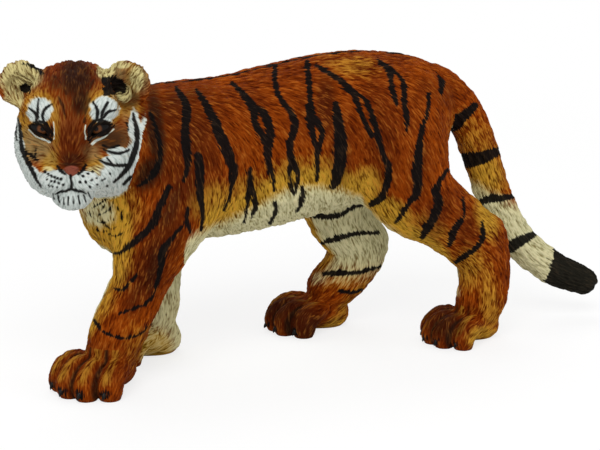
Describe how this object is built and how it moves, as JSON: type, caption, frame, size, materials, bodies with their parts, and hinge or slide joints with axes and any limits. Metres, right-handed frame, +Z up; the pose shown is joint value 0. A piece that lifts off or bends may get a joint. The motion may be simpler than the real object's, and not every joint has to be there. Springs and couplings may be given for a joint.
{
  "type": "tiger figurine",
  "caption": "Walking tiger figurine, moulded in one piece and painted, with its head turned to its left and its tail sweeping out behind",
  "frame": {"origin": "Middle of the bounding box in X and Y, on the surface that the soles stand on", "axes": "+X towards the tail, along the longest extent; the animal walks towards -X; +Y towards its right flank; +Z up"},
  "size_m": [0.146, 0.044, 0.0721],
  "materials": {
    "painted_fur": "hand-painted satin over fine moulded fur relief"
  },
  "bodies": {
    "root": {"tiger": "painted_fur"}
  },
  "joints": []
}
